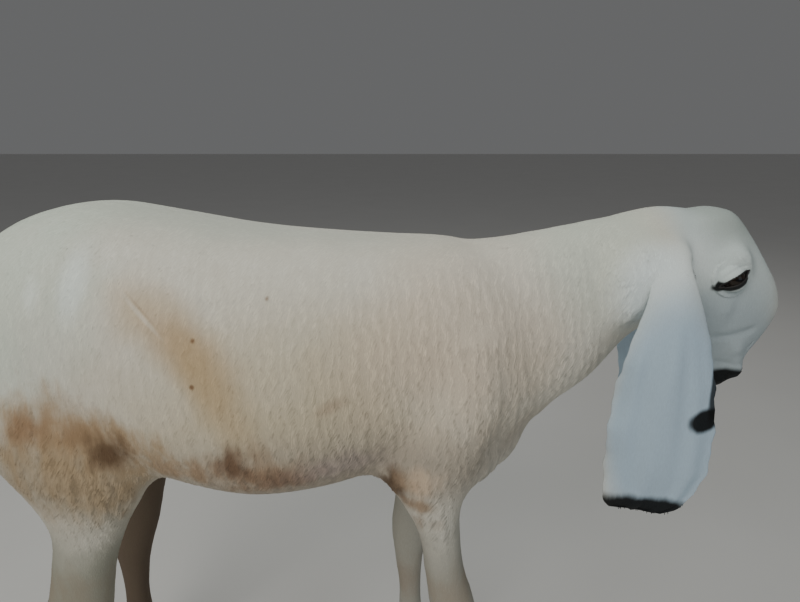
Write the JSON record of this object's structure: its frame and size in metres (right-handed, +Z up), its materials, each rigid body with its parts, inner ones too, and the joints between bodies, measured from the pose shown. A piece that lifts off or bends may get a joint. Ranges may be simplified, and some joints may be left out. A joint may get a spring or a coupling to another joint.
{
  "type": "shorn sheep",
  "caption": "Life-size standing shorn sheep with a roman nose, very long drooping ears, cream wool, a medium tail and cloven hooves, its head lowered and turned slightly to the right.",
  "frame": {"origin": "on the floor, under the middle of the sheep's box", "axes": "+X towards the head, +Y to the sheep's left, +Z up"},
  "size_m": [1.0874, 0.3591, 0.8082],
  "materials": {
    "wool": "matte, short and slightly curled",
    "hair": "short flat hair, white with black on the lids, muzzle and ear edges",
    "horn": "dull dark horn",
    "eye": "wet and glossy"
  },
  "bodies": {
    "root": {"trunk": "wool", "neck": "wool", "head": "hair", "tail": "wool", "ear_right": "hair", "ear_left": "hair", "eye_right": "eye", "eye_left": "eye", "fore_leg_right": "wool", "fore_leg_left": "wool", "hind_leg_right": "wool", "hind_leg_left": "wool", "hoof_fore_right_outer": "horn", "hoof_fore_right_inner": "horn", "hoof_fore_left_outer": "horn", "hoof_fore_left_inner": "horn", "hoof_hind_right_outer": "horn", "hoof_hind_right_inner": "horn", "hoof_hind_left_outer": "horn", "hoof_hind_left_inner": "horn", "dewclaw_fore_right_outer": "horn", "dewclaw_fore_right_inner": "horn", "dewclaw_fore_left_outer": "horn", "dewclaw_fore_left_inner": "horn", "dewclaw_hind_right_outer": "horn", "dewclaw_hind_right_inner": "horn", "dewclaw_hind_left_outer": "horn", "dewclaw_hind_left_inner": "horn"}
  },
  "joints": []
}
